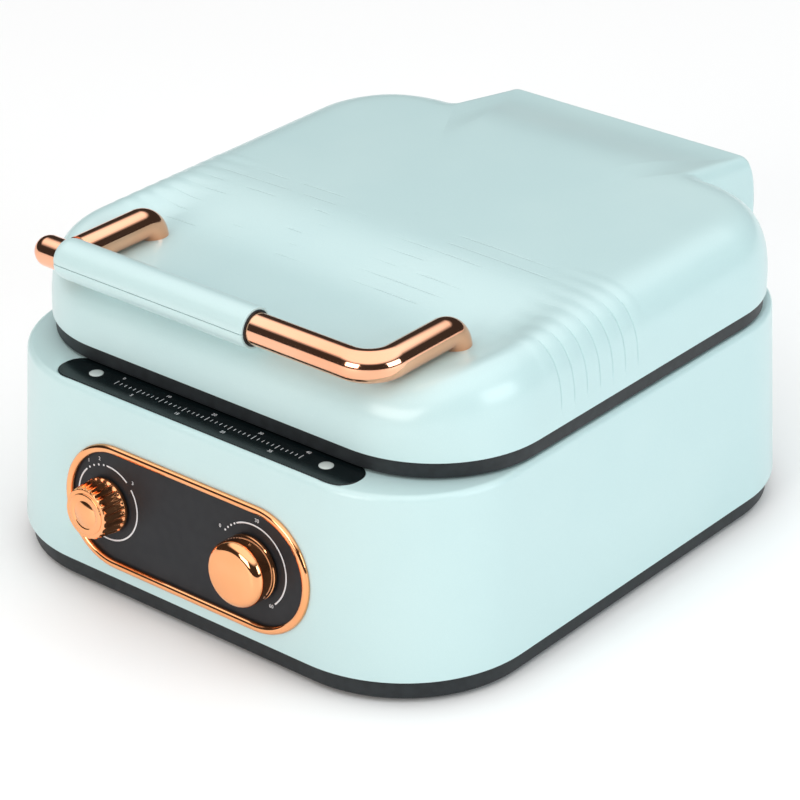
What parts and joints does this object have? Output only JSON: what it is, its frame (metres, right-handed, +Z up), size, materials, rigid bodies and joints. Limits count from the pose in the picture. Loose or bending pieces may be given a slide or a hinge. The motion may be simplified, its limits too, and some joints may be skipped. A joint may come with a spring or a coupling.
{
  "type": "electric baking pan",
  "caption": "Deep rounded-square electric pan with a hinged pillow-shaped lid, tube handle with a grip, and two turning knobs on a stadium-shaped front panel.",
  "frame": {"origin": "centre of the bounding box on the plane the feet stand on", "axes": "+Z up, -Y towards the control panel, +X to the user's right when facing the panel, hinge at +Y"},
  "size_m": [0.33, 0.4146, 0.19],
  "materials": {
    "mint_paint": "satin pale mint paint on moulded plastic",
    "black_plastic": "fine matt black moulding",
    "rubber": "matt black rubber",
    "steel": "plain steel",
    "nonstick": "black non-stick coating on die-cast aluminium",
    "aluminised_sheet": "pressed bright sheet",
    "ceramic": "unglazed white ceramic",
    "panel_dark": "dark grey printed panel",
    "rose_gold": "polished rose-gold plating",
    "control_housing": "grey moulded housing",
    "glossy_black": "glossy black insert with printed scale",
    "lens": "milky translucent lens"
  },
  "bodies": {
    "base": {"base_shell": "mint_paint", "bottom_plate": "black_plastic", "foot_front_left": "rubber", "foot_front_right": "rubber", "foot_rear_left": "rubber", "foot_rear_right": "rubber", "base_screw_front_left": "steel", "base_screw_front_right": "steel", "base_screw_rear_left": "steel", "base_screw_rear_right": "steel", "lower_pan": "nonstick", "lower_heater": "steel", "lower_heat_shield": "aluminised_sheet", "lower_thermal_cutoff": "ceramic", "control_panel": "panel_dark", "panel_bezel": "rose_gold", "thermostat_body": "control_housing", "timer_body": "control_housing", "display_strip": "glossy_black", "lamp_lens_left": "lens", "lamp_lens_right": "lens", "cord_gland": "black_plastic", "terminal_block": "ceramic", "hinge_bracket_left": "black_plastic", "hinge_bracket_right": "black_plastic", "hinge_pin": "steel", "hinge_pin_clip": "steel"},
    "lid": {"lid_shell": "mint_paint", "lid_frame": "black_plastic", "upper_plate": "nonstick", "upper_plate_screw_1": "steel", "upper_plate_screw_2": "steel", "upper_plate_screw_3": "steel", "upper_plate_screw_4": "steel", "upper_heater": "steel", "upper_heat_shield": "aluminised_sheet", "upper_thermal_cutoff": "ceramic", "hinge_arm_left": "steel", "hinge_arm_right": "steel", "handle_bar": "rose_gold", "handle_left_leg": "rose_gold", "handle_clamp_left": "aluminised_sheet", "handle_clamp_right": "aluminised_sheet", "handle_screw_left": "steel", "handle_screw_right": "steel", "grip_upper": "mint_paint", "grip_lower": "mint_paint"},
    "thermostat_dial": {"thermostat_knob": "rose_gold", "thermostat_shaft": "steel"},
    "timer_dial": {"timer_knob": "rose_gold", "timer_shaft": "steel"}
  },
  "joints": [
    {"name": "lid_hinge", "type": "hinge", "parent": "base", "child": "lid", "pos_m": [0, 0.18526, 0.135], "axis": [-1, 0, 0], "range_deg": [0, 100]},
    {"name": "thermostat_turn", "type": "hinge", "parent": "base", "child": "thermostat_dial", "pos_m": [-0.0571, -0.18888, 0.05748], "axis": [0, -0.9985, 0.055], "range_deg": [-260, 0]},
    {"name": "timer_turn", "type": "hinge", "parent": "base", "child": "timer_dial", "pos_m": [0.0463, -0.18888, 0.05748], "axis": [0, -0.9985, 0.055], "range_deg": [-220, 0]}
  ]
}
